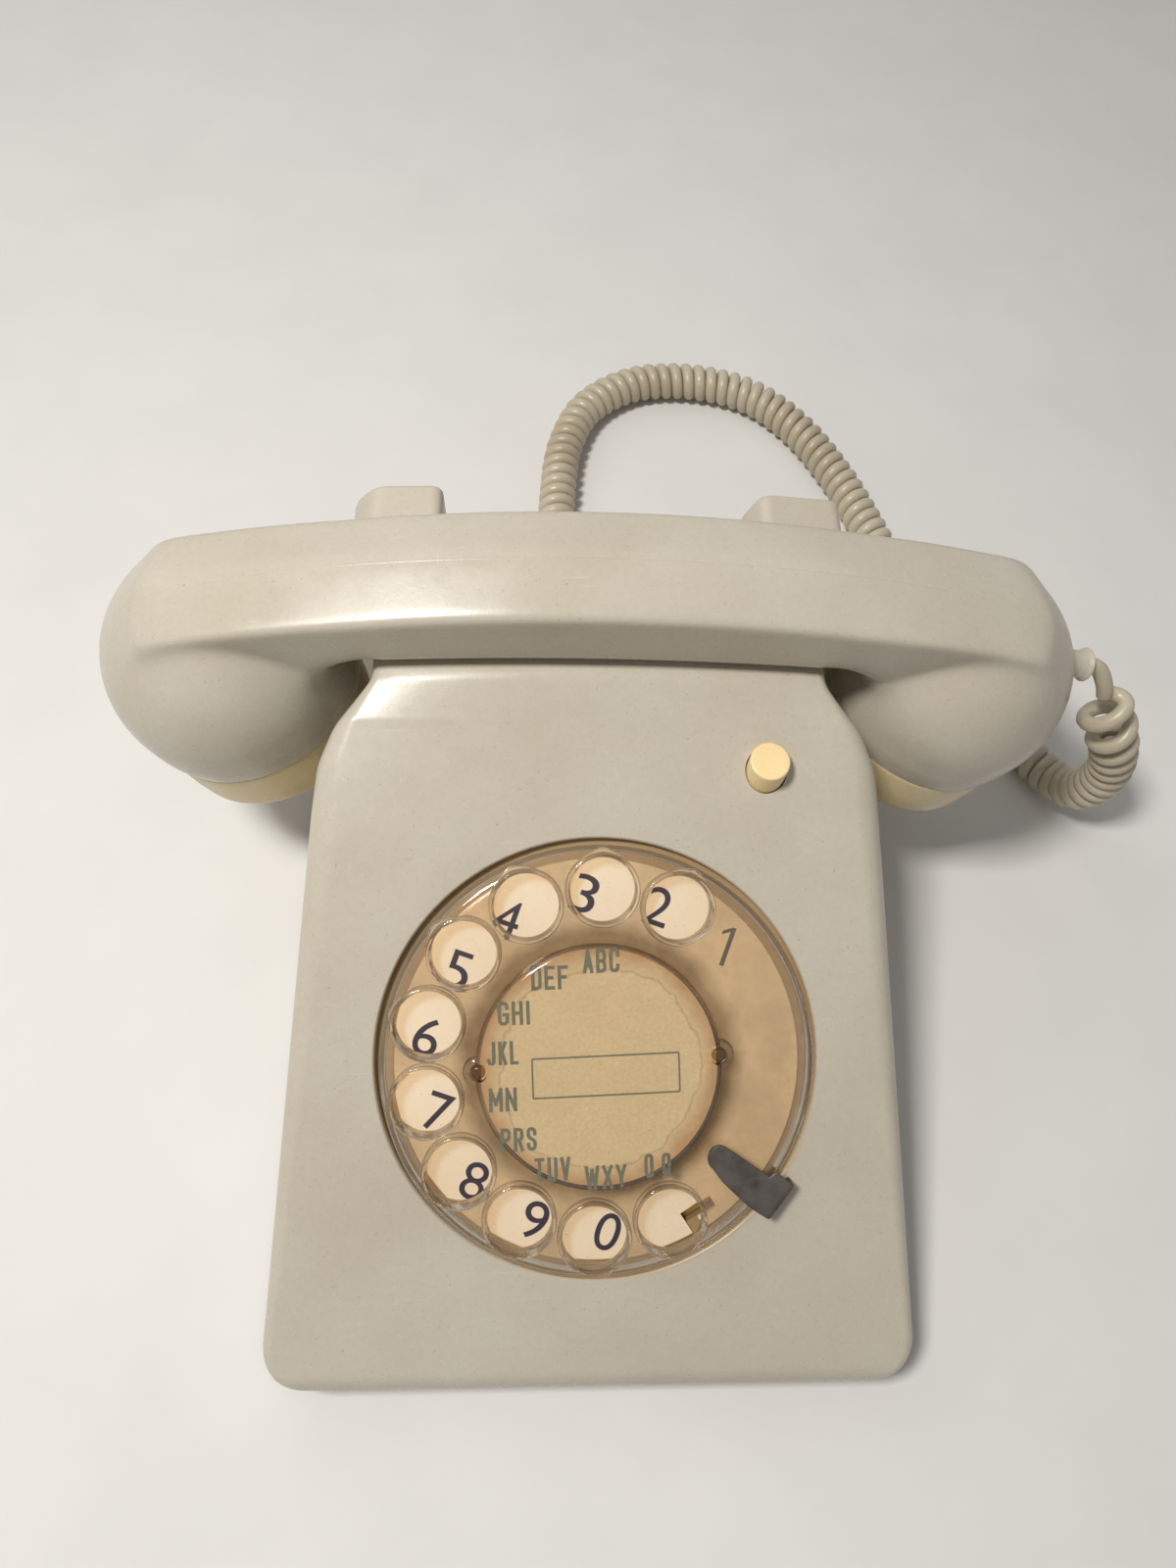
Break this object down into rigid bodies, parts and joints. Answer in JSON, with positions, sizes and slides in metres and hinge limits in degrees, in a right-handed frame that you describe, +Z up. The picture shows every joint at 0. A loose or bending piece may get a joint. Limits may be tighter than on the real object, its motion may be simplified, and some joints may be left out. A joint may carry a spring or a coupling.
{
  "type": "rotary telephone",
  "caption": "Rotary desk telephone with a sloping moulded housing, clear finger wheel, push button and a handset on a coiled cord.",
  "frame": {"origin": "bottom centre of the telephone without its cord, on the table", "axes": "+X along the handset to the right, +Y from the front to the back, +Z up"},
  "size_m": [0.2764, 0.3288, 0.1139],
  "materials": {
    "shell_plastic": "semi-gloss",
    "cord_sheath": "satin",
    "clear_acrylic": "clear gloss",
    "number_plate_plastic": "satin",
    "card": "matt paper",
    "button_plastic": "gloss",
    "dark_steel": "semi-gloss",
    "base_steel": "satin",
    "rubber": "matt",
    "case_plastic": "matt",
    "steel": "brushed",
    "brass": "satin",
    "copper_winding": "varnished winding",
    "board": "matt"
  },
  "bodies": {
    "base": {"housing": "shell_plastic", "base_plate": "base_steel", "rubber_feet": "rubber", "housing_screws": "steel", "handset_cord_gland": "shell_plastic", "line_cord_gland": "shell_plastic", "dial_case": "case_plastic", "number_plate": "number_plate_plastic", "finger_stop": "dark_steel", "mainspring": "steel", "movement_front_plate": "brass", "movement_back_plate": "brass", "governor_cup": "steel", "pulse_contacts": "steel", "hook_bracket": "steel", "hook_contacts": "brass", "button_contact": "steel", "bell_left": "steel", "bell_right": "steel", "bell_screws": "brass", "ringer_frame": "steel", "ringer_coil": "copper_winding", "circuit_board": "board", "induction_coil": "copper_winding", "capacitor": "board", "terminal_strip": "board", "handset_cord": "cord_sheath"},
    "dial": {"finger_wheel": "clear_acrylic", "label_card": "card", "centre_cover": "clear_acrylic", "main_shaft": "steel", "main_gear": "brass"},
    "idler": {"idler_shaft": "steel", "pulse_cam": "case_plastic", "second_gear": "brass"},
    "governor": {"governor_shaft": "steel", "governor_weights": "brass"},
    "hook": {"hook_plungers": "case_plastic"},
    "button": {"push_button": "button_plastic"},
    "clapper": {"clapper": "steel"},
    "handset": {"handset_shell": "shell_plastic", "ear_cap": "shell_plastic", "mouth_cap": "shell_plastic", "receiver_capsule": "steel", "transmitter_capsule": "case_plastic", "strain_relief": "shell_plastic"}
  },
  "joints": [
    {"name": "handset_lift", "type": "slide", "parent": "base", "child": "handset", "axis": [0, 0, 1], "range_m": [0, 0.12]},
    {"name": "hook_rise", "type": "slide", "parent": "base", "child": "hook", "axis": [0, 0, 1], "range_m": [0, 0.005]},
    {"name": "dial_spin", "type": "hinge", "parent": "base", "child": "dial", "pos_m": [0, -0.03185, 0.05126], "axis": [0, 0.4384, -0.8988], "range_deg": [0, 321], "stiffness_Nm_per_rad": 0.012},
    {"name": "idler_spin", "type": "hinge", "parent": "base", "child": "idler", "pos_m": [0, -0.00165, 0.06599], "axis": [0, 0.4384, -0.8988], "range_deg": [-2250, 5]},
    {"name": "governor_spin", "type": "hinge", "parent": "base", "child": "governor", "pos_m": [0.01087, -0.00427, 0.06472], "axis": [0, 0.4384, -0.8988], "range_deg": [-5, 9000]},
    {"name": "button_press", "type": "slide", "parent": "base", "child": "button", "axis": [0, 0, -1], "range_m": [0, 0.003], "stiffness_N_per_m": 300},
    {"name": "clapper_swing", "type": "hinge", "parent": "base", "child": "clapper", "pos_m": [0, 0.03904, 0.0214], "axis": [0, 0, 1], "range_deg": [-5, 5]}
  ],
  "couplings": [
    {"joint": "hook_rise", "follows": "handset_lift", "ratio": 0.041667},
    {"joint": "idler_spin", "follows": "dial_spin", "ratio": -7},
    {"joint": "governor_spin", "follows": "dial_spin", "ratio": 28}
  ]
}
